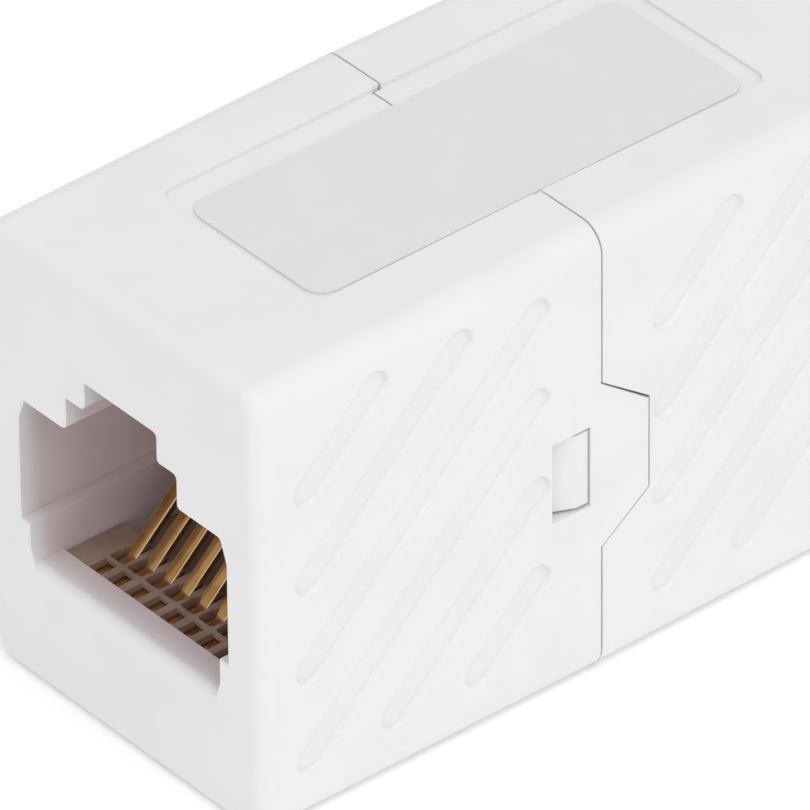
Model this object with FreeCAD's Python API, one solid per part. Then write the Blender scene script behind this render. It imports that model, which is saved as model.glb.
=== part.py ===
"""Eight-way inline data coupler: two snap-together housing halves with a port in each end.

Frame: X along the length, Y across, Z up. The origin is at the middle of the flat bottom, on the
seam between the halves. Lengths are in millimetres.

Every piece is first drawn for the front half, whose port faces -X. The back half is the same
moulding turned half a turn about Z, apart from the key and the reach of the label recess.
"""
import FreeCAD, Part
import math
import os

V = FreeCAD.Vector

# ---- housing ------------------------------------------------------------------------------
body_length = 32.4
face_width = 15.58
face_height = 19.74
draft_deg = 0.46            # sides and top widen towards the seam
long_edge_radius = 1.07
face_edge_radius = 0.63
seam_gap = 0.08
wall = 1.4                  # floor and roof
side_wall = 1.3
fit = 0.07                  # clearance between pieces that slide together
overcut = 1.0               # how far a cutter runs past the face that it opens
tolerance = 0.01            # for telling edges apart by their place

# ---- port ---------------------------------------------------------------------------------
port_width = 11.9
port_top = 12.55            # underside of the roof over the plug body
port_corner_drop = 0.95
port_corner_inset = 0.35
port_corner_radius = 0.5    # at the upper corners of the plug space
port_notch_radius = 0.4     # at the upper corners of the shoulder and the tab slot
port_step_radius = 0.25     # on the steps that point into the port
tab_shoulder_width = 6.34
tab_shoulder_top = 14.0
tab_slot_width = 4.12
tab_slot_top = 15.25
port_depth = 11.8
port_edge_bevel = 0.08
sill_height = 5.4
sill_depth = 1.45
sill_edge_radius = 0.45
rail_top = 7.08
rail_width = 0.5
rail_foot_height = 0.65
rail_foot_width = 0.2

# ---- joint between the halves ---------------------------------------------------------------
tongue_reach = 2.25
tongue_centre = 9.4
tongue_root_height = 7.32
tongue_tip_height = 3.96
window_near = 0.55          # from the seam to the near edge of the window
window_length = 1.83
window_centre = 9.62
window_height = 3.55
arm_thickness = 0.9
arm_play = 0.15
arm_pad_length = 1.8
hook_flat = 0.54
hook_ramp_drop = 0.52
hook_recess = 0.08
key_width = 9.0
key_reach = 0.3

# ---- grip grooves ---------------------------------------------------------------------------
groove_width = 1.35
groove_depth = 0.18
groove_slope = 0.09         # how far the groove floor is set in from its rim
groove_pitch = 3.97
groove_field_start = 2.35   # from the face to the first groove centre
groove_field_base = 2.85
groove_field_length = 10.75
groove_field_height = 15.05
groove_overcut = 0.2        # how far a groove's cutter stands out of the wall

# ---- label ----------------------------------------------------------------------------------
label_length = 20.6
label_width = 7.6
label_corner_radius = 0.9
label_thickness = 0.1
recess_depth = 0.25         # below the top of the housing at the seam
recess_corner_radius = 0.7
recess_margin_front = 0.3   # from the label to the edge of its recess, on each of its sides
recess_margin_back = 0.8
recess_margin_near = 0.2
recess_margin_far = 1.2

# ---- contacts and their carriers ------------------------------------------------------------
contact_count = 8
contact_pitch = 1.016
contact_width = 0.55
contact_thickness = 0.3
contact_bend = 0.5          # set-back of the hidden bends
contact_rise_radius = 0.5
contact_rise_deg = 43.0
contact_rise_start = 3.3    # from the face to where the contact leaves the comb
contact_crest_height = 7.5
contact_tip_height = 8.1
contact_run_height = 2.6
contact_row_step = 1.0      # between the two rows of tails in the board
contact_nose = 1.68         # from the face to where the contact turns up
contact_nose_radius = 0.25
contact_sink = 0.2          # from the top of the comb down to the top of a contact
comb_height = 5.3
comb_length = 2.7
comb_slot_width = 0.66
comb_bridge_start = 2.35
comb_bridge_length = 0.2
comb_bridge_thickness = 0.17
comb_well_start = 2.6
comb_well_length = 0.75
comb_well_width = 0.84
comb_well_depth = 0.85
carrier_base_height = 2.95
carrier_side_gap = 0.4      # from the chamber wall to the carrier's base
back_plate_thickness = 1.2
back_plate_headroom = 1.94  # from the back plate up to the roof
back_plate_slot_depth = 0.9
back_plate_slot_clearance = 0.35

# ---- circuit board --------------------------------------------------------------------------
board_thickness = 1.0
board_height = 13.0
board_hole = 0.75
board_hole_sides = 8
tail_past_middle = 0.3

# ---- worked out from the sizes above ----------------------------------------------------------
half_length = body_length / 2
face_x = -half_length
seam_x = -seam_gap / 2
half_run = half_length - seam_gap / 2
draft_growth = half_run * math.tan(math.radians(draft_deg))
seam_half_width = face_width / 2 + draft_growth
seam_height = face_height + draft_growth
chamber_half_width = seam_half_width - side_wall
chamber_x = face_x + port_depth
roof_under = face_height - wall
recess_floor = seam_height - recess_depth
recess_front = label_length / 2 + recess_margin_front
recess_back = label_length / 2 + recess_margin_back
recess_width = label_width + recess_margin_near + recess_margin_far
label_shift = (recess_margin_near - recess_margin_far) / 2
carrier_floor = wall
carrier_top = carrier_floor + carrier_base_height
carrier_half_width = chamber_half_width - carrier_side_gap
comb_half_width = port_width / 2 - rail_width - rail_foot_width - fit
arm_outer = chamber_half_width - arm_play
arm_inner = arm_outer - arm_thickness
arm_height = window_height - 2 * arm_play
board_face = board_thickness / 2
notch_height = window_height + 2 * arm_play
notch_half_width = arm_inner - arm_play
contact_top_line = comb_height - contact_sink - contact_thickness / 2
jog_x = -board_face - 2 * contact_bend


def box(x0, x1, y0, y1, z0, z1):
    """Return a block between two corners."""
    return Part.makeBox(x1 - x0, y1 - y0, z1 - z0, V(x0, y0, z0))


def centred_box(x0, x1, width, z0, z1, y=0.0):
    """Return a block of the given width, centred across the body on y."""
    return box(x0, x1, y - width / 2, y + width / 2, z0, z1)


def prism(points, along):
    """Extrude a closed polygon, given as vectors, by the vector along."""
    return Part.Face(Part.makePolygon(points + points[:1])).extrude(along)


def turned(shape):
    """Return the shape turned half a turn about Z: from the front half to the back half."""
    copy = shape.copy()
    copy.rotate(V(0, 0, 0), V(0, 0, 1), 180)
    return copy


def edges_where(shape, test):
    """Return the edges of a shape that pass the test."""
    return [edge for edge in shape.Edges if test(edge)]


def spans(edge, axis):
    """Return the lowest and highest coordinate of an edge along an axis."""
    low = getattr(edge.BoundBox, axis + "Min")
    high = getattr(edge.BoundBox, axis + "Max")
    return low, high


def housing_blank():
    """Outside of one half: a drafted block with rounded long edges and a rounded face."""
    half_face = face_width / 2
    blank = Part.makeWedge(-half_face, face_x, 0, 0, -seam_half_width,
                           half_face, seam_x, face_height, seam_height, seam_half_width)
    blank.rotate(V(0, 0, 0), V(0, 0, 1), -90)
    long_edges = edges_where(blank, lambda e: spans(e, "X")[1] - spans(e, "X")[0] > half_run / 2)
    blank = blank.makeFillet(long_edge_radius, long_edges)
    rim = edges_where(blank, lambda e: spans(e, "X")[1] < face_x + face_edge_radius / 2)
    return blank.makeFillet(face_edge_radius, rim)


def port_space():
    """Space that a plug enters: rails at its foot, then two steps up to the tab slot."""
    half = port_width / 2
    rail = half - rail_width
    x = face_x - overcut
    right = [(tab_slot_width / 2, tab_slot_top, port_notch_radius),
             (tab_slot_width / 2, tab_shoulder_top, port_step_radius),
             (tab_shoulder_width / 2, tab_shoulder_top, port_notch_radius),
             (tab_shoulder_width / 2, port_top, port_step_radius),
             (half - port_corner_inset, port_top, port_corner_radius),
             (half, port_top - port_corner_drop, port_corner_radius),
             (half, rail_top, 0),
             (rail, rail_top, 0),
             (rail, sill_height + rail_foot_height, 0),
             (rail - rail_foot_width, sill_height, 0)]
    corners = right + [(-y, z, radius) for y, z, radius in reversed(right)]
    roof = V(x, 0, tab_slot_top)
    points = [roof] + [V(x, y, z) for y, z, _ in corners] + [roof]
    outline = Part.Wire(rounded_path(points, [radius for _, _, radius in corners]))
    return Part.Face(outline).extrude(V(overcut + port_depth, 0, 0))


def inner_space():
    """Hollow behind and around the port, open at the seam."""
    width = 2 * chamber_half_width
    chamber = centred_box(chamber_x, overcut, width, carrier_floor, roof_under)
    cradle = centred_box(face_x + sill_depth, chamber_x, 2 * (carrier_half_width + fit),
                         carrier_floor, carrier_top + fit)
    floor_opening = centred_box(face_x + sill_depth, chamber_x, 2 * (comb_half_width + fit),
                                carrier_top, sill_height + overcut)
    side_wall_top = port_top + side_wall
    core = centred_box(face_x + wall, chamber_x, width, side_wall_top, roof_under)
    core = core.cut(centred_box(face_x, chamber_x, tab_shoulder_width + 2 * side_wall,
                                side_wall_top, tab_shoulder_top + side_wall))
    core = core.cut(centred_box(face_x, chamber_x, tab_slot_width + 2 * side_wall,
                                side_wall_top, tab_slot_top + side_wall))
    return chamber.fuse([cradle, floor_opening, core])


def tongue_outline(y, clearance):
    """Trapezoid of the tongue in the plane Y = y, grown by a clearance."""
    root = tongue_root_height / 2 + clearance
    tip = tongue_tip_height / 2 + clearance
    reach = tongue_reach + clearance
    return [V(-side_wall, y, tongue_centre - root), V(0, y, tongue_centre - root),
            V(reach, y, tongue_centre - tip), V(reach, y, tongue_centre + tip),
            V(0, y, tongue_centre + root), V(-side_wall, y, tongue_centre + root)]


def tongue():
    """Tongue in line with the -Y wall, which crosses the seam into the other half."""
    return prism(tongue_outline(-seam_half_width, 0), V(0, side_wall, 0))


def tongue_pocket():
    """Cut-out in the +Y wall for the tongue of the other half."""
    pocket = prism(tongue_outline(-seam_half_width - overcut, seam_gap),
                   V(0, overcut + side_wall + fit, 0))
    return turned(pocket.common(box(0, 2 * tongue_reach, -2 * seam_half_width, 0, 0, seam_height)))


def snap_window():
    """Window through the -Y wall, where the hook of the other half shows."""
    return box(-window_near - window_length, -window_near, -seam_half_width - overcut, -arm_outer,
               window_centre - window_height / 2, window_centre + window_height / 2)


def snap_arm():
    """Arm inside the +Y wall, with a ramped hook for the window of the other half."""
    base = window_centre - arm_height / 2
    tip = window_near + window_length - fit
    catch = window_near + fit
    face = seam_half_width - hook_recess
    arm = box(chamber_x, tip, arm_inner, arm_outer, base, base + arm_height)
    pad = box(chamber_x, chamber_x + arm_pad_length, arm_inner, chamber_half_width + fit,
              base, base + arm_height)
    hook = prism([V(catch, arm_inner, base), V(tip, arm_inner, base),
                  V(tip, face - hook_ramp_drop, base), V(catch + hook_flat, face, base),
                  V(catch, face, base)], V(0, 0, arm_height))
    return arm.fuse([pad, hook])


def stadium(length, width, y):
    """Wire of a slot shape in the plane Y = y: centres 0 and length along X."""
    r = width / 2
    low = Part.LineSegment(V(0, y, -r), V(length, y, -r)).toShape()
    right = Part.Arc(V(length, y, -r), V(length + r, y, 0), V(length, y, r)).toShape()
    high = Part.LineSegment(V(length, y, r), V(0, y, r)).toShape()
    left = Part.Arc(V(0, y, r), V(-r, y, 0), V(0, y, -r)).toShape()
    return Part.Wire([low, right, high, left])


def groove_tool(length):
    """Cutter for one groove along X from the origin, with its rim at Y = 0 and floor inwards."""
    flare = groove_overcut * groove_slope / groove_depth
    outer = stadium(length, groove_width + 2 * flare, -groove_overcut)
    inner = stadium(length, groove_width - 2 * groove_slope, groove_depth)
    return Part.makeLoft([outer, inner], True, True)


def groove_set():
    """Cutters for the grooves of the -Y side: 45 degree slots that fill a rectangle."""
    left = face_x + groove_field_start
    right = left + groove_field_length
    base = groove_field_base
    top = base + groove_field_height
    lines = range(-int(groove_field_length / groove_pitch), int(groove_field_height / groove_pitch) + 1)
    tools = []
    for line in lines:
        rise = line * groove_pitch
        start = max(left, left - rise)
        end = min(right, left + groove_field_height - rise)
        tool = groove_tool((end - start) * math.sqrt(2))
        tool.rotate(V(0, 0, 0), V(0, 1, 0), -45)
        tool.translate(V(start, 0, base + rise + start - left))
        tool.translate(V(-seam_x, 0, 0))
        tool.rotate(V(0, 0, 0), V(0, 0, 1), -draft_deg)
        tool.translate(V(seam_x, -seam_half_width, 0))
        tools.append(tool)
    return tools


def groove_set_far():
    """Cutters for the +Y side: the -Y set of the other half, turned round."""
    tools = []
    shift = 2 * half_length - 2 * groove_field_start - groove_field_length
    for tool in groove_set():
        tool.translate(V(0, seam_half_width, 0))
        tool.rotate(V(0, 0, 0), V(0, 0, 1), draft_deg)
        tool.translate(V(shift, 0, 0))
        tool.rotate(V(0, 0, 0), V(0, 0, 1), draft_deg)
        tool.translate(V(0, -seam_half_width, 0))
        tools.append(turned(tool))
    return tools


def rounded_plate(x0, x1, width, z0, z1, radius, y=0.0):
    """Plate with rounded upright edges."""
    plate = centred_box(x0, x1, width, z0, z1, y)
    upright = edges_where(plate, lambda e: spans(e, "Z")[1] - spans(e, "Z")[0] > (z1 - z0) / 2)
    return plate.makeFillet(radius, upright)


def soften_mouth(shell):
    """Round the sill of the port and bevel its other edges at the face."""
    def on_face(edge):
        centre = edge.BoundBox.Center
        return (spans(edge, "X")[1] < face_x + tolerance and abs(centre.y) < port_width / 2 + tolerance
                and sill_height - tolerance < centre.z < tab_slot_top + tolerance)

    def is_sill(edge):
        return on_face(edge) and abs(edge.BoundBox.Center.z - sill_height) < tolerance

    shell = shell.makeFillet(sill_edge_radius, edges_where(shell, is_sill))
    above_sill = edges_where(shell, lambda e: on_face(e) and not is_sill(e))
    return shell.makeChamfer(port_edge_bevel, above_sill)


def housing(recess_reach, has_key):
    """One moulded half, drawn as the front one."""
    shell = housing_blank()
    shell = shell.cut(port_space())
    shell = soften_mouth(shell)
    shell = shell.cut([inner_space(), tongue_pocket(), snap_window()])
    shell = shell.fuse([tongue(), snap_arm()])
    shell = shell.cut(snap_window())
    if has_key:
        shell = shell.fuse(centred_box(-wall, key_reach, key_width, roof_under, seam_height))
    else:
        shell = shell.cut(centred_box(-key_reach - seam_gap, overcut, key_width + 2 * seam_gap,
                                      roof_under - overcut, seam_height + overcut))
    recess = rounded_plate(-recess_reach, recess_reach, recess_width, recess_floor,
                           seam_height + overcut, recess_corner_radius)
    shell = shell.cut([recess] + groove_set() + groove_set_far())
    return shell.removeSplitter()


def contact_y(number):
    """Place of a contact across the front half: number 1 is furthest to +Y."""
    return contact_pitch * ((contact_count + 1) / 2 - number)


def rounded_path(points, radii):
    """Edges of a line through the points, with an arc at each corner whose radius isn't 0."""
    edges = []
    start = points[0]
    for before, corner, after, radius in zip(points, points[1:], points[2:], radii):
        if radius == 0:
            edges.append(Part.LineSegment(start, corner).toShape())
            start = corner
            continue
        back = (before - corner).normalize()
        ahead = (after - corner).normalize()
        half_turn = (math.pi - back.getAngle(ahead)) / 2
        setback = radius * math.tan(half_turn)
        entry = corner + back * setback
        leave = corner + ahead * setback
        inward = (back + ahead).normalize()
        middle = corner + inward * (radius / math.cos(half_turn) - radius)
        edges.append(Part.LineSegment(start, entry).toShape())
        edges.append(Part.Arc(entry, middle, leave).toShape())
        start = leave
    edges.append(Part.LineSegment(start, points[-1]).toShape())
    return edges


def strip(points, radii, thickness, width):
    """Bent strip of rectangular section whose middle line follows points in an XZ plane.

    A radius of 0 gives a plain mitre, for bends that nothing shows.
    """
    def side(sign):
        moved = []
        for i, point in enumerate(points):
            before = points[max(i - 1, 0)]
            after = points[min(i + 1, len(points) - 1)]
            a = (point - before).normalize() if i > 0 else (after - point).normalize()
            b = (after - point).normalize() if i < len(points) - 1 else a
            normal_a = V(-a.z, 0, a.x)
            normal_b = V(-b.z, 0, b.x)
            mitre = (normal_a + normal_b).normalize()
            moved.append(point + mitre * (sign * thickness / 2 / mitre.dot(normal_a)))
        corner_radii = []
        for i, radius in enumerate(radii):
            a = points[i + 1] - points[i]
            b = points[i + 2] - points[i + 1]
            left_turn = a.x * b.z - a.z * b.x > 0
            growth = -thickness / 2 if left_turn == (sign > 0) else thickness / 2
            corner_radii.append(radius + growth if radius > 0 else 0)
        return moved, rounded_path(moved, corner_radii)

    upper_points, upper = side(1)
    lower_points, lower = side(-1)
    ends = [Part.LineSegment(upper_points[0], lower_points[0]).toShape(),
            Part.LineSegment(upper_points[-1], lower_points[-1]).toShape()]
    outline = Part.Wire(Part.__sortEdges__(upper + lower + ends))
    face = Part.Face(outline)
    face.translate(V(0, -width / 2, 0))
    return face.extrude(V(0, width, 0))


def contact(number):
    """One spring contact: board tail, run under the carrier, turn round its nose, rising spring."""
    run = contact_run_height
    tail = run + contact_row_step * ((number + 1) % 2)
    over = contact_top_line
    nose_x = face_x + contact_nose
    rise_x = face_x + contact_rise_start
    crest_x = rise_x + (contact_crest_height - over) / math.tan(math.radians(contact_rise_deg))
    tip_x = chamber_x + back_plate_slot_depth / 2
    path = [(tail_past_middle, tail, 0)]
    if tail > run:
        path += [(jog_x, tail, 0), (jog_x - contact_row_step, run, 0)]
    path += [(nose_x + contact_bend, run, 0), (nose_x, run + contact_bend, 0),
             (nose_x, over, contact_nose_radius), (rise_x, over, contact_rise_radius),
             (crest_x, contact_crest_height, 0), (tip_x, contact_tip_height, 0)]
    points = [V(x, 0, z) for x, z, _ in path]
    radii = [radius for _, _, radius in path[1:-1]]
    wire = strip(points, radii, contact_thickness, contact_width)
    wire.translate(V(0, contact_y(number), 0))
    return wire


def carrier():
    """Moulded carrier: base in the cradle, comb behind the sill, slotted back plate."""
    front = face_x + sill_depth + fit
    comb_end = front + comb_length
    width = 2 * carrier_half_width
    plate_x = chamber_x + back_plate_thickness
    body = centred_box(front, -board_face, width, carrier_floor, carrier_top)
    comb = centred_box(front, comb_end, 2 * comb_half_width, carrier_floor, comb_height)
    plate = centred_box(chamber_x, plate_x, 2 * (chamber_half_width - arm_play),
                        carrier_floor, roof_under - back_plate_headroom)
    body = body.fuse([comb, plate])
    half_plate = chamber_half_width
    for side in (-1, 1):
        notch_y = side * (notch_half_width + half_plate / 2)
        body = body.cut(centred_box(chamber_x - overcut, plate_x + overcut, half_plate,
                                    window_centre - notch_height / 2,
                                    window_centre + notch_height / 2, notch_y))
    cuts = []
    for number in range(1, contact_count + 1):
        cuts += carrier_slots(number, front, comb_end)
    return body.cut(cuts).removeSplitter()


def carrier_slots(number, front, comb_end):
    """Cutters for the slots that hold one contact."""
    y = contact_y(number)
    half_thick = contact_thickness / 2
    run_top = contact_run_height + half_thick
    groove_floor = contact_top_line - half_thick
    nose_back = face_x + contact_nose + contact_bend + half_thick
    bridge_x = face_x + comb_bridge_start
    well_x = face_x + comb_well_start
    slot = comb_slot_width
    open_front = front - overcut
    open_end = comb_end + overcut
    above = comb_height + overcut
    below = carrier_floor - overcut
    cuts = [centred_box(open_front, overcut, slot, below, run_top, y),
            centred_box(open_front, nose_back, slot, below, above, y),
            centred_box(open_front, open_end, slot, groove_floor, comb_height - comb_bridge_thickness, y),
            centred_box(open_front, bridge_x, slot, groove_floor, above, y),
            centred_box(bridge_x + comb_bridge_length, open_end, slot, groove_floor, above, y),
            centred_box(well_x, well_x + comb_well_length, comb_well_width,
                        comb_height - comb_well_depth, above, y),
            centred_box(chamber_x - overcut, chamber_x + back_plate_slot_depth, slot, carrier_top,
                        contact_tip_height + contact_thickness + back_plate_slot_clearance, y)]
    if number % 2 == 0:
        cuts.append(centred_box(jog_x - contact_row_step - contact_bend, overcut, slot,
                                below, run_top + contact_row_step, y))
    return cuts


def board():
    """Circuit board across the middle, with two rows of holes and a notch for each snap arm."""
    half_width = chamber_half_width - arm_play
    plate = centred_box(-board_face, board_face, 2 * half_width, carrier_floor,
                        carrier_floor + board_height)
    turn = 2 * math.pi / board_hole_sides
    corner = board_hole / 2 / math.cos(turn / 2)
    drill = prism([V(0, corner * math.cos(i * turn), corner * math.sin(i * turn))
                   for i in range(board_hole_sides)], V(2 * overcut, 0, 0))
    cuts = []
    for side in (-1, 1):
        notch_y = side * (notch_half_width + half_width / 2)
        cuts.append(centred_box(-overcut, overcut, half_width, window_centre - notch_height / 2,
                                window_centre + notch_height / 2, notch_y))
    for number in range(1, contact_count + 1):
        for row in (0, 1):
            hole = drill.copy()
            hole.translate(V(-overcut, contact_y(number), contact_run_height + row * contact_row_step))
            cuts.append(hole)
    return plate.cut(cuts)


def label():
    """Blank label on the floor of the recess."""
    return rounded_plate(-label_length / 2, label_length / 2, label_width, recess_floor,
                         recess_floor + label_thickness, label_corner_radius, label_shift)


def save(shape, name):
    """Write one piece to its STEP file."""
    os.makedirs("parts", exist_ok=True)
    shape.exportStep("parts/" + name + ".step")


save(housing(recess_front, False), "front_housing")
save(turned(housing(recess_back, True)), "back_housing")
save(label(), "label")
save(board(), "circuit_board")
save(carrier(), "front_contact_carrier")
save(turned(carrier()), "back_contact_carrier")
for pin in range(1, contact_count + 1):
    save(contact(pin), "front_contact_%d" % pin)
    save(turned(contact(pin)), "back_contact_%d" % pin)
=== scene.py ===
"""Looks of an eight-way inline data coupler: two snapped housing halves with a port in each end.

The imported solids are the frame. This script gives each of them its finish, sharpens the inner
corners of both ports, rounds the edges of the spring contacts, and sets up a plain studio. Lengths
are in metres, unless a docstring says otherwise.
"""

import logging
import math
from dataclasses import dataclass, field
from enum import Enum
from typing import Mapping, Sequence, Union

import bpy
from mathutils import Matrix, Vector


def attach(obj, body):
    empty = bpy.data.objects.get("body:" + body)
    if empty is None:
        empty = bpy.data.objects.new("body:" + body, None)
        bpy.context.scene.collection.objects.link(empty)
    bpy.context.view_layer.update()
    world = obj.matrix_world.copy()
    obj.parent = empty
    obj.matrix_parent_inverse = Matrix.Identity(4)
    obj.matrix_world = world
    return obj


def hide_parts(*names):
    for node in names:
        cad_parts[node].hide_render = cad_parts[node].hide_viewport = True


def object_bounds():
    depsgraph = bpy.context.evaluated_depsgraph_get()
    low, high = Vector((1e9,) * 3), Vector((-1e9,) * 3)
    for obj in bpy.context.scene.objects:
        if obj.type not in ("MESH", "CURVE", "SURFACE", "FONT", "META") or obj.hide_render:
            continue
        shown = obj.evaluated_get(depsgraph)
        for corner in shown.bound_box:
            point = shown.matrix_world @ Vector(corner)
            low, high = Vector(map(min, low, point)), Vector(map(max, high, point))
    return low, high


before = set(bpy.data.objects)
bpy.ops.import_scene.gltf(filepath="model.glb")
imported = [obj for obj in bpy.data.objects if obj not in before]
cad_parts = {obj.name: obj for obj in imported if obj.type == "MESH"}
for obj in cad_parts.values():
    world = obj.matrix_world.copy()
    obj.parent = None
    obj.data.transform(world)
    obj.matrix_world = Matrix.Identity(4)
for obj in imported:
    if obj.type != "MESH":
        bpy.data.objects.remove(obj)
CAD_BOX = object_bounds()

log = logging.getLogger("coupler")

MM = 0.001
ROOT = "root"
WELD = 0.0001 * MM          # points nearer than this are one point

MIX_FIRST, MIX_SECOND, MIX_RESULT = 6, 7, 2     # colour sockets of a Mix node, by place

Rgb = tuple[float, float, float]
Span = tuple[float, float]
Corner = tuple[float, float, float]
Value = Union["Num", bpy.types.NodeSocket, float, Sequence[float]]


class Slot(Enum):
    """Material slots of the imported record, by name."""

    HOUSING = "housing_white"
    GOLD = "gold_plate"


class End(Enum):
    """The two ends of the coupler, by the sign of X that their port faces."""

    FRONT = -1
    BACK = 1

    @property
    def prefix(self) -> str:
        """First word of the names of the pieces at this end."""
        return self.name.lower()


# ---- shader building ---------------------------------------------------------------------------


class Num:
    """A number on a socket, on which arithmetic adds Math nodes."""

    def __init__(self, graph: "Graph", socket: bpy.types.NodeSocket) -> None:
        """Wrap a socket.

        Args:
            graph: the node tree that the socket is in.
            socket: an output that carries one number.
        """
        self.graph = graph
        self.socket = socket

    def _math(self, operation: str, *values: Value) -> "Num":
        """Add a Math node.

        Args:
            operation: the Math node's operation.
            values: its inputs, in order.

        Returns:
            The node's result.
        """
        node = self.graph.node("ShaderNodeMath", {"operation": operation},
                               dict(enumerate(values)))
        return Num(self.graph, node.outputs[0])

    def __add__(self, other: Value) -> "Num":
        """Return self + other."""
        return self._math("ADD", self, other)

    __radd__ = __add__

    def __sub__(self, other: Value) -> "Num":
        """Return self - other."""
        return self._math("SUBTRACT", self, other)

    def __rsub__(self, other: Value) -> "Num":
        """Return other - self."""
        return self._math("SUBTRACT", other, self)

    def __mul__(self, other: Value) -> "Num":
        """Return self * other."""
        return self._math("MULTIPLY", self, other)

    __rmul__ = __mul__

    def __truediv__(self, other: Value) -> "Num":
        """Return self / other."""
        return self._math("DIVIDE", self, other)

    def __pow__(self, other: Value) -> "Num":
        """Return self to the power of other."""
        return self._math("POWER", self, other)

    def __abs__(self) -> "Num":
        """Return the size of self without its sign."""
        return self._math("ABSOLUTE", self)

    def wave(self) -> "Num":
        """Return the sine of self."""
        return self._math("SINE", self)

    def fraction(self) -> "Num":
        """Return what self has after the decimal point."""
        return self._math("FRACT", self)

    def step(self, low: float, high: float) -> "Num":
        """Rise smoothly from 0 to 1.

        Args:
            low: the value at which the result leaves 0.
            high: the value at which it reaches 1. It may be under low, for a fall.

        Returns:
            The mask.
        """
        node = self.graph.node("ShaderNodeMapRange", {"interpolation_type": "SMOOTHSTEP"},
                               {0: self, 1: low, 2: high, 3: 0.0, 4: 1.0})
        return Num(self.graph, node.outputs[0])


class Graph:
    """Node tree of one material."""

    def __init__(self, name: str) -> None:
        """Start an empty material.

        Args:
            name: the material's name.
        """
        self.material = bpy.data.materials.new(name)
        self.material.use_nodes = True
        self.tree = self.material.node_tree
        self.tree.nodes.clear()

    def node(self, kind: str, settings: Mapping[str, object], sockets: Mapping[object, Value]
             ) -> bpy.types.Node:
        """Add a node.

        Args:
            kind: the node's type.
            settings: its own properties, set before its sockets.
            sockets: a value or a link for each input, by name or place.

        Returns:
            The node.
        """
        node = self.tree.nodes.new(kind)
        for name, setting in settings.items():
            setattr(node, name, setting)
        for key, value in sockets.items():
            source = value.socket if isinstance(value, Num) else value
            if isinstance(source, bpy.types.NodeSocket):
                self.tree.links.new(source, node.inputs[key])
            else:
                node.inputs[key].default_value = source
        return node

    def place(self) -> bpy.types.NodeSocket:
        """Return the place of the shaded point in the part's frame."""
        return self.node("ShaderNodeTexCoord", {}, {}).outputs["Object"]

    def axes(self) -> tuple[Num, Num, Num]:
        """Return the X, Y and Z of the shaded point."""
        split = self.node("ShaderNodeSeparateXYZ", {}, {0: self.place()})
        x, y, z = (Num(self, output) for output in split.outputs)
        return x, y, z

    def noise(self, grain: float, detail: float = 2.0, stretch: Rgb = (1.0, 1.0, 1.0)) -> Num:
        """Soft random field.

        Args:
            grain: size of one patch.
            detail: how many finer layers it has.
            stretch: how much finer the field is along each axis.

        Returns:
            The field, about 0.5 on average.
        """
        turned = self.node("ShaderNodeMapping", {}, {"Vector": self.place(), "Scale": stretch})
        node = self.node("ShaderNodeTexNoise", {},
                         {"Vector": turned.outputs[0], "Scale": 1.0 / grain, "Detail": detail})
        return Num(self, node.outputs[0])

    def blend(self, mask: Value, first: Value, second: Value) -> bpy.types.NodeSocket:
        """Mix two colours.

        Args:
            mask: 0 for the first colour, 1 for the second.
            first: a colour or a link to one.
            second: a colour or a link to one.

        Returns:
            The mixed colour.
        """
        pair = [(*c, 1.0) if isinstance(c, tuple) else c for c in (first, second)]
        mix = self.node("ShaderNodeMix", {"data_type": "RGBA"},
                        {0: mask, MIX_FIRST: pair[0], MIX_SECOND: pair[1]})
        return mix.outputs[MIX_RESULT]

    def relief(self, height: Num, depth: float) -> bpy.types.NodeSocket:
        """Tilt the surface by a height field.

        Args:
            height: the field, from 0 to 1.
            depth: how high 1 stands over 0.

        Returns:
            The normal.
        """
        bump = self.node("ShaderNodeBump", {},
                         {"Height": height, "Distance": depth, "Strength": 1.0})
        return bump.outputs[0]

    def finish(self, **sockets: Value) -> bpy.types.Material:
        """Close the tree with a Principled shader.

        Args:
            sockets: a value or a link for each input, with _ for a space in its name.

        Returns:
            The finished material.
        """
        named = {name.replace("_", " "): value for name, value in sockets.items()}
        shader = self.node("ShaderNodeBsdfPrincipled", {}, named)
        self.node("ShaderNodeOutputMaterial", {}, {"Surface": shader.outputs[0]})
        return self.material


# ---- finishes ----------------------------------------------------------------------------------


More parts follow.
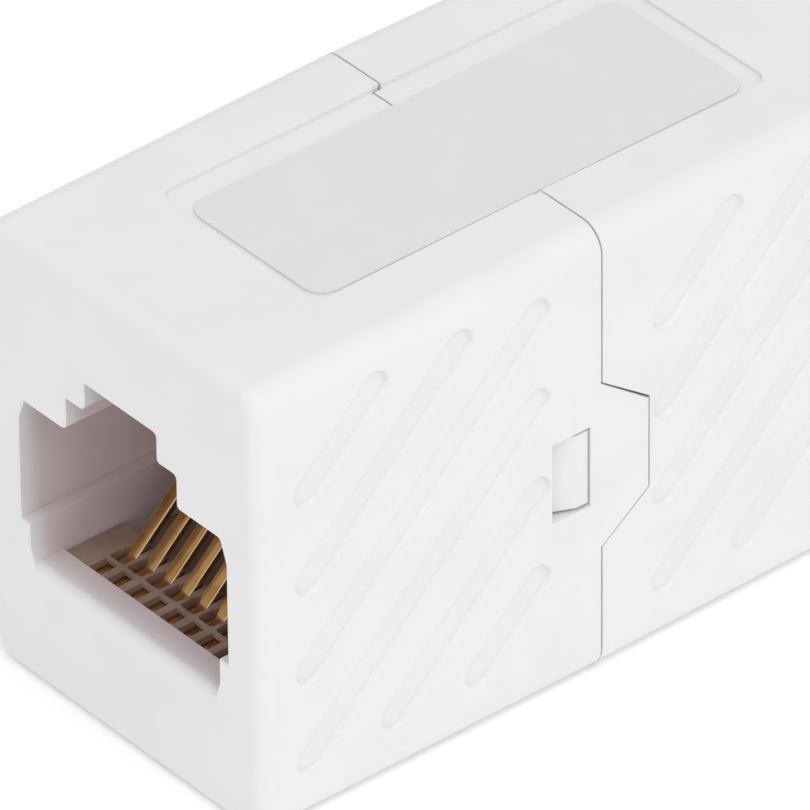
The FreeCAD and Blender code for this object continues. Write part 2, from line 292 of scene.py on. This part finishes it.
@dataclass(frozen=True)
class MouldedWhite:
    """Satin white housing plastic, off a finely eroded mould.

    The ports' painted shade and warm painted reflection of the gold are a choice of look. The
    plastic itself is one colour all through.
    """

    face: Rgb = (0.80, 0.80, 0.805)
    sink: Rgb = (0.785, 0.783, 0.792)
    # Port colours: painted shade, warmed deeper in by a painted reflection of the gold contacts.
    inside: Rgb = (0.715, 0.615, 0.635)
    deep_inside: Rgb = (0.87, 0.73, 0.72)
    patch: float = 3.5 * MM
    patch_span: Span = (0.35, 0.65)
    texture: float = 0.09 * MM
    texture_detail: float = 3.0
    texture_depth: float = 0.0012 * MM
    waviness: float = 2.2 * MM
    waviness_detail: float = 1.0
    waviness_depth: float = 0.004 * MM
    roughness: float = 0.42
    roughness_spread: float = 0.12
    subsurface: float = 0.12
    subsurface_reach: float = 0.6 * MM
    subsurface_tint: Rgb = (1.0, 0.9, 0.85)
    port_half_width: float = 5.97 * MM
    port_low: float = 5.0 * MM
    port_high: float = 15.3 * MM
    port_blend: float = 0.1 * MM
    # Where the painted port shade fades in from the mouth, and where the painted reflection takes
    # over.
    port_shade_start: float = 16.0 * MM
    port_shade_end: float = 15.0 * MM
    deep_start: float = 13.5 * MM
    deep_end: float = 8.0 * MM

    def material(self) -> bpy.types.Material:
        """Return the material: mottled white, with painted shade and painted reflection in the
        ports, and mould texture.
        """
        graph = Graph("moulded_white")
        x, y, z = graph.axes()
        patches = graph.noise(self.patch)
        texture = graph.noise(self.texture, self.texture_detail)
        waves = graph.noise(self.waviness, self.waviness_detail)
        within = abs(y).step(self.port_half_width + self.port_blend, self.port_half_width)
        within = within * z.step(self.port_low - self.port_blend, self.port_low)
        within = within * z.step(self.port_high + self.port_blend, self.port_high)
        # Painted shade inside the port, turning to a warm painted reflection deeper in.
        port_shade_mask = within * abs(x).step(self.port_shade_start, self.port_shade_end)
        colour = graph.blend(patches.step(*self.patch_span), self.sink, self.face)
        deep = abs(x).step(self.deep_start, self.deep_end)
        port_painted_colour = graph.blend(deep, self.inside, self.deep_inside)
        colour = graph.blend(port_shade_mask, colour, port_painted_colour)
        rough = self.roughness + (texture - 0.5) * self.roughness_spread
        height = texture + waves * (self.waviness_depth / self.texture_depth)
        return graph.finish(Base_Color=colour, Roughness=rough,
                            Normal=graph.relief(height, self.texture_depth),
                            Subsurface_Weight=self.subsurface,
                            Subsurface_Radius=self.subsurface_tint,
                            Subsurface_Scale=self.subsurface_reach)


@dataclass(frozen=True)
class LabelFilm:
    """Blank light grey label with a matt face and faint fibres."""

    light: Rgb = (0.735, 0.735, 0.742)
    dark: Rgb = (0.715, 0.714, 0.722)
    patch: float = 2.4 * MM
    patch_detail: float = 3.0
    tone_span: Span = (0.36, 0.64)
    fibre: float = 0.05 * MM
    fibre_run: float = 0.18
    fibre_share: float = 0.4
    fibre_depth: float = 0.0008 * MM
    roughness: float = 0.55
    roughness_spread: float = 0.1

    def material(self) -> bpy.types.Material:
        """Return the material: two close greys, with fibres along the label."""
        graph = Graph("label_film")
        fibres = graph.noise(self.fibre, stretch=(self.fibre_run, 1.0, 1.0))
        cloud = graph.noise(self.patch, self.patch_detail)
        mixed = cloud * (1 - self.fibre_share) + fibres * self.fibre_share
        tone = mixed.step(*self.tone_span)
        rough = self.roughness + (fibres - 0.5) * self.roughness_spread
        return graph.finish(Base_Color=graph.blend(tone, self.dark, self.light), Roughness=rough,
                            Normal=graph.relief(fibres, self.fibre_depth))


@dataclass(frozen=True)
class ShadedCarrierResin:
    """Engineering resin of the contact carriers, whose warm dark grey is painted shade with a
    painted reflection of the gold.
    """

    # Both tones are painted shade, warmed by a painted reflection of the gold contacts.
    light: Rgb = (0.37, 0.265, 0.21)
    dark: Rgb = (0.30, 0.205, 0.155)
    patch: float = 1.1 * MM
    patch_detail: float = 4.0
    tone_span: Span = (0.35, 0.65)
    texture: float = 0.06 * MM
    texture_depth: float = 0.0015 * MM
    roughness: float = 0.48
    roughness_spread: float = 0.14

    def material(self) -> bpy.types.Material:
        """Return the material: cloudy painted shade on the resin, with a fine grain."""
        graph = Graph("carrier_resin_painted_shade")
        cloud = graph.noise(self.patch, self.patch_detail)
        texture = graph.noise(self.texture)
        rough = self.roughness + (texture - 0.5) * self.roughness_spread
        colour = graph.blend(cloud.step(*self.tone_span), self.dark, self.light)
        return graph.finish(Base_Color=colour, Roughness=rough,
                            Normal=graph.relief(texture, self.texture_depth))


@dataclass(frozen=True)
class GoldPlate:
    """Gold plate on rolled bronze strip, darkened as painted shade, with lines along the strip and
    a painted highlight on its long edges.
    """

    # Both gold tones are darkened to stand for painted shade inside the port.
    painted_shade_bright: Rgb = (0.50, 0.28, 0.105)
    painted_shade_dull: Rgb = (0.36, 0.19, 0.065)
    # Painted highlight along both long edges of each strip.
    painted_highlight: Rgb = (1.0, 0.80, 0.50)
    pitch: float = 1.016 * MM
    edge_inner: float = 0.235 * MM
    edge_outer: float = 0.272 * MM
    edge_blend: float = 0.006 * MM
    patch: float = 0.9 * MM
    tone_span: Span = (0.34, 0.62)
    line: float = 0.035 * MM
    line_detail: float = 1.0
    line_run: float = 0.08
    line_share: float = 0.3
    line_depth: float = 0.0006 * MM
    roughness: float = 0.11
    roughness_spread: float = 0.08

    def material(self) -> bpy.types.Material:
        """Return the material: brushed gold darkened as painted shade, drifting along the strip,
        with a painted highlight at its edges.
        """
        graph = Graph("gold_plate")
        _, y, _ = graph.axes()
        # Mask of the painted highlight on the strip's long edges, by distance across the strip.
        across = abs(((y / self.pitch).fraction() - 0.5) * self.pitch)
        highlight_mask = across.step(self.edge_inner, self.edge_inner + self.edge_blend)
        highlight_mask = highlight_mask * across.step(self.edge_outer + self.edge_blend, self.edge_outer)
        lines = graph.noise(self.line, self.line_detail, (self.line_run, 1.0, self.line_run))
        drift = graph.noise(self.patch)
        mixed = drift * (1 - self.line_share) + lines * self.line_share
        tone = mixed.step(*self.tone_span)
        rough = self.roughness + (lines - 0.5) * self.roughness_spread
        colour = graph.blend(highlight_mask, graph.blend(tone, self.painted_shade_dull, self.painted_shade_bright), self.painted_highlight)
        return graph.finish(Base_Color=colour, Roughness=rough, Metallic=1.0,
                            Normal=graph.relief(lines, self.line_depth))


@dataclass(frozen=True)
class SolderMask:
    """Green circuit board with a tinned ring round each hole."""

    mask_light: Rgb = (0.030, 0.190, 0.085)
    mask_dark: Rgb = (0.018, 0.125, 0.055)
    tin: Rgb = (0.72, 0.72, 0.70)
    pitch: float = 1.016 * MM
    first_row: float = 2.6 * MM
    row_step: float = 1.0 * MM
    row_count: int = 2
    row_blend: float = 0.01
    ring: float = 0.47 * MM
    ring_edge: float = 0.02 * MM
    pad_reach: float = 4.2 * MM
    weave: float = 0.32 * MM
    weave_depth: float = 0.002 * MM
    weaves_per_patch: float = 6.0
    patch_detail: float = 3.0
    roughness: float = 0.34
    tin_polish: float = 0.08

    def material(self) -> bpy.types.Material:
        """Return the material: woven board under mask, and the pads of both rows."""
        graph = Graph("solder_mask")
        _, y, z = graph.axes()
        across = ((y / self.pitch).fraction() - 0.5) * self.pitch
        rise = (z - self.first_row) / self.row_step
        near_row = (rise + 0.5).fraction() - 0.5
        up = near_row * self.row_step
        radius = (across * across + up * up) ** 0.5
        last = self.row_count - 0.5
        rows = rise.step(-0.5, -0.5 + self.row_blend) * rise.step(last, last - self.row_blend)
        pads = radius.step(self.ring + self.ring_edge, self.ring) * rows
        pads = pads * abs(y).step(self.pad_reach + self.ring_edge, self.pad_reach)
        turn = 2 * math.pi / self.weave
        weave = ((y * turn).wave() * (z * turn).wave()) * 0.5 + 0.5
        cloud = graph.noise(self.weave * self.weaves_per_patch, self.patch_detail)
        green = graph.blend(cloud, self.mask_dark, self.mask_light)
        return graph.finish(Base_Color=graph.blend(pads, green, self.tin), Metallic=pads,
                            Roughness=self.roughness - pads * self.tin_polish,
                            Normal=graph.relief(weave, self.weave_depth))


@dataclass(frozen=True)
class PaleFloor:
    """Pale matt studio floor that gives off a little light."""

    tone: Rgb = (0.955, 0.955, 0.955)
    shade: Rgb = (0.945, 0.945, 0.947)
    patch: float = 0.05
    patch_detail: float = 1.0
    roughness: float = 0.9
    specular: float = 0.1
    glow: float = 0.13

    def material(self) -> bpy.types.Material:
        """Return the material: near white, with a faint drift."""
        graph = Graph("pale_floor")
        drift = graph.noise(self.patch, self.patch_detail)
        return graph.finish(Base_Color=graph.blend(drift, self.shade, self.tone),
                            Roughness=self.roughness, Specular_IOR_Level=self.specular,
                            Emission_Color=(*self.tone, 1.0), Emission_Strength=self.glow)


# ---- sub-assemblies ----------------------------------------------------------------------------


def dress(names: Sequence[str], material: bpy.types.Material) -> None:
    """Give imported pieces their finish.

    Args:
        names: the pieces.
        material: the finish.
    """
    for name in names:
        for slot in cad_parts[name].material_slots:
            slot.material = material
        log.info("%s is finished in %s", name, material.name)


def welded_copy(name: str, suffix: str) -> bpy.types.Object:
    """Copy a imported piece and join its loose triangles.

    Args:
        name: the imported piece, which is left as it is.
        suffix: what the copy's name adds.

    Returns:
        The copy, selected and active.
    """
    piece = bpy.data.objects.new(f"{name}_{suffix}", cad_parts[name].data.copy())
    bpy.context.scene.collection.objects.link(piece)
    bpy.ops.object.select_all(action="DESELECT")
    piece.select_set(True)
    bpy.context.view_layer.objects.active = piece
    bpy.ops.mesh.customdata_custom_splitnormals_clear()
    bpy.ops.object.mode_set(mode="EDIT")
    bpy.ops.mesh.select_all(action="SELECT")
    bpy.ops.mesh.remove_doubles(threshold=WELD)
    bpy.ops.object.mode_set(mode="OBJECT")
    return piece


def seat(piece: bpy.types.Object, name: str, finish: bpy.types.Material) -> None:
    """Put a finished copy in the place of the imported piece.

    Args:
        piece: the copy.
        name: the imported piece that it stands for.
        finish: its material.
    """
    piece.data.materials.clear()
    piece.data.materials.append(finish)
    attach(piece, ROOT)
    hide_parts(name)
    log.info("%s stands for %s", piece.name, name)


@dataclass(frozen=True)
class PortMouth:
    """Crisper inner corners for the stepped port. Lengths are in millimetres.

    A corner is given by its y, its z and its moulded radius, for the side where y is positive.
    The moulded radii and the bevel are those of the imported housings.
    """

    corners: tuple[Corner, ...] = ((2.06, 15.25, 0.4), (3.17, 14.0, 0.4), (5.6, 12.55, 0.5))
    radius: float = 0.14
    bevel: float = 0.08
    face: float = 16.2
    depth: float = 11.8
    reach: float = 1.05

    def sharpen(self, piece: bpy.types.Object, end: End) -> None:
        """Draw each rounded corner in towards its point.

        Args:
            piece: the welded copy of a housing.
            end: the end that its port is in.
        """
        for y, z, moulded in self.corners:
            for side in (-1, 1):
                for on_face in (True, False):
                    self.draw_in(piece, end, (side * y, z, moulded), on_face)

    def draw_in(self, piece: bpy.types.Object, end: End, corner: Corner, on_face: bool) -> None:
        """Draw one corner in, on the face or behind it.

        Args:
            piece: the welded copy.
            end: the end that its port is in.
            corner: the corner's point and moulded radius.
            on_face: whether to move the rim on the face or the wall behind it.
        """
        y, z, moulded = corner
        grow = self.bevel if on_face else 0.0
        point = Vector((0.0, y + math.copysign(grow, y), z + grow)) * MM
        near = (moulded + grow) * self.reach * MM
        bpy.ops.object.mode_set(mode="EDIT")
        bpy.ops.mesh.select_all(action="DESELECT")
        bpy.ops.object.mode_set(mode="OBJECT")
        for vertex in piece.data.vertices:
            behind = self.face + vertex.co.x * -end.value / MM
            level = (abs(behind) < self.bevel / 2) == on_face
            inside = -self.bevel < behind < self.depth + self.bevel
            off = Vector((0.0, vertex.co.y, vertex.co.z)) - point
            vertex.select = level and inside and off.length < near
        factor = (self.radius + grow) / (moulded + grow)
        bpy.ops.object.mode_set(mode="EDIT")
        bpy.ops.transform.resize(value=(1.0, factor, factor), center_override=point)
        bpy.ops.object.mode_set(mode="OBJECT")


@dataclass
class Housing:
    """The two snapped housing halves and the label in their recess."""

    mouth: PortMouth = field(default_factory=PortMouth)
    smooth_angle: float = 30.0
    plastic: MouldedWhite = field(default_factory=MouldedWhite)
    film: LabelFilm = field(default_factory=LabelFilm)

    def build(self) -> None:
        """Shape and finish the halves, and finish the label."""
        white = self.plastic.material()
        for end in End:
            name = end.prefix + "_housing"
            shell = welded_copy(name, "shell")
            self.mouth.sharpen(shell, end)
            bpy.ops.object.shade_smooth_by_angle(angle=math.radians(self.smooth_angle))
            bpy.ops.object.modifier_add(type="WEIGHTED_NORMAL")
            evener = shell.modifiers[-1]
            evener.keep_sharp = True
            bpy.ops.object.modifier_apply(modifier=evener.name)
            seat(shell, name, white)
        dress(["label"], self.film.material())


@dataclass
class ContactBlocks:
    """The carrier and the eight contacts behind each port."""

    contact_count: int = 8
    edge_radius: float = 0.045 * MM
    edge_segments: int = 2
    edge_angle: float = 60.0
    flat_angle: float = 1.0
    smooth_angle: float = 30.0
    resin: ShadedCarrierResin = field(default_factory=ShadedCarrierResin)
    plate: GoldPlate = field(default_factory=GoldPlate)

    def build(self) -> None:
        """Finish the carriers and the contacts."""
        dress([end.prefix + "_contact_carrier" for end in End], self.resin.material())
        gold = self.plate.material()
        for end in End:
            for number in range(1, self.contact_count + 1):
                self.build_contact(f"{end.prefix}_contact_{number}", gold)

    def build_contact(self, name: str, gold: bpy.types.Material) -> None:
        """Stand a strip with rolled edges in the place of a packed contact.

        Args:
            name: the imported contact.
            gold: its finish.
        """
        strip = welded_copy(name, "strip")
        bpy.ops.object.mode_set(mode="EDIT")
        bpy.ops.mesh.select_all(action="SELECT")
        bpy.ops.mesh.dissolve_limited(angle_limit=math.radians(self.flat_angle))
        bpy.ops.object.mode_set(mode="OBJECT")
        bpy.ops.object.modifier_add(type="BEVEL")
        bevel = strip.modifiers[-1]
        bevel.width = self.edge_radius
        bevel.segments = self.edge_segments
        bevel.limit_method = "ANGLE"
        bevel.angle_limit = math.radians(self.edge_angle)
        bevel.use_clamp_overlap = False
        bpy.ops.object.modifier_apply(modifier=bevel.name)
        bpy.ops.object.shade_smooth_by_angle(angle=math.radians(self.smooth_angle))
        seat(strip, name, gold)


@dataclass
class CircuitBoard:
    """The board that joins the two sets of contacts."""

    mask: SolderMask = field(default_factory=SolderMask)

    def build(self) -> None:
        """Finish the board."""
        dress(["circuit_board"], self.mask.material())


# ---- studio ------------------------------------------------------------------------------------


def direction(azimuth: float, elevation: float) -> Vector:
    """Direction from the part to a camera or a light.

    Args:
        azimuth: degrees round Z; 0 stands on the -Y side.
        elevation: degrees over the floor.

    Returns:
        The unit vector.
    """
    turn, rise = math.radians(azimuth), math.radians(elevation)
    flat = math.cos(rise)
    return Vector((math.sin(turn) * flat, -math.cos(turn) * flat, math.sin(rise)))


@dataclass(frozen=True)
class Softbox:
    """A square area light that looks at the part."""

    name: str
    azimuth: float
    elevation: float
    distance: float
    size: float
    power: float

    def build(self, target: Vector) -> None:
        """Hang the light.

        Args:
            target: the point that it looks at.
        """
        away = direction(self.azimuth, self.elevation)
        bpy.ops.object.light_add(type="AREA", location=target + away * self.distance)
        lamp = bpy.context.object
        lamp.name = self.name
        lamp.rotation_euler = away.to_track_quat("Z", "Y").to_euler()
        lamp.data.shape = "SQUARE"
        lamp.data.size = self.size
        lamp.data.energy = self.power
        log.info("light %s is hung", self.name)


@dataclass
class Studio:
    """Pale floor, soft light from all round and the camera."""

    floor_size: float = 3.0
    floor_gap: float = 0.02 * MM
    floor_finish: PaleFloor = field(default_factory=PaleFloor)
    lights: tuple[Softbox, ...] = (
        Softbox(name="key", azimuth=-18, elevation=58, distance=0.5, size=0.40, power=1.05),
        Softbox(name="fill", azimuth=-115, elevation=30, distance=0.7, size=0.5, power=0.05))
    ambient: float = 0.71
    azimuth: float = -39.93
    elevation: float = 35.72
    roll: float = -0.54
    lens: float = 645.2
    distance: float = 540.8 * MM
    aim_right: float = -2.151 * MM
    aim_up: float = 6.347 * MM
    clip_start: float = 0.05
    clip_end: float = 10.0

    def build(self) -> None:
        """Set the floor, the lights and the camera."""
        low, high = CAD_BOX
        self.build_floor(low.z - self.floor_gap)
        self.build_world()
        centre = (low + high) / 2
        for light in self.lights:
            light.build(centre)
        self.build_camera()

    def build_floor(self, height: float) -> None:
        """Lay the floor.

        Args:
            height: the Z of its top.
        """
        bpy.ops.object.select_all(action="DESELECT")
        bpy.ops.mesh.primitive_plane_add(size=self.floor_size, location=(0.0, 0.0, height))
        floor = bpy.context.object
        floor.name = "studio_floor"
        floor.data.materials.append(self.floor_finish.material())

    def build_world(self) -> None:
        """Light the studio evenly from all round."""
        world = bpy.data.worlds.new("studio")
        world.use_nodes = True
        background = world.node_tree.nodes["Background"]
        background.inputs["Color"].default_value = (1.0, 1.0, 1.0, 1.0)
        background.inputs["Strength"].default_value = self.ambient
        bpy.context.scene.world = world
        bpy.context.scene.view_settings.view_transform = "Standard"

    def build_camera(self) -> None:
        """Stand the camera off the part's front corner, aimed by its own right and up."""
        back = direction(self.azimuth, self.elevation)
        turn = math.radians(self.azimuth)
        level = Vector((math.cos(turn), math.sin(turn), 0.0))
        tilt = math.radians(self.roll)
        right = level * math.cos(tilt) + back.cross(level) * math.sin(tilt)
        up = back.cross(right)
        place = right * self.aim_right + up * self.aim_up + back * self.distance
        bpy.ops.object.camera_add(location=place)
        camera = bpy.context.object
        camera.name = "camera"
        camera.rotation_euler = Matrix((right, up, back)).transposed().to_euler()
        camera.data.lens = self.lens
        camera.data.clip_start = self.clip_start
        camera.data.clip_end = self.clip_end
        bpy.context.scene.camera = camera


def main() -> None:
    """Build the sub-assemblies in order, then the studio."""
    logging.basicConfig(level=logging.INFO, format="%(name)s: %(message)s")
    Housing().build()
    ContactBlocks().build()
    CircuitBoard().build()
    Studio().build()


if __name__ == "__main__":
    main()
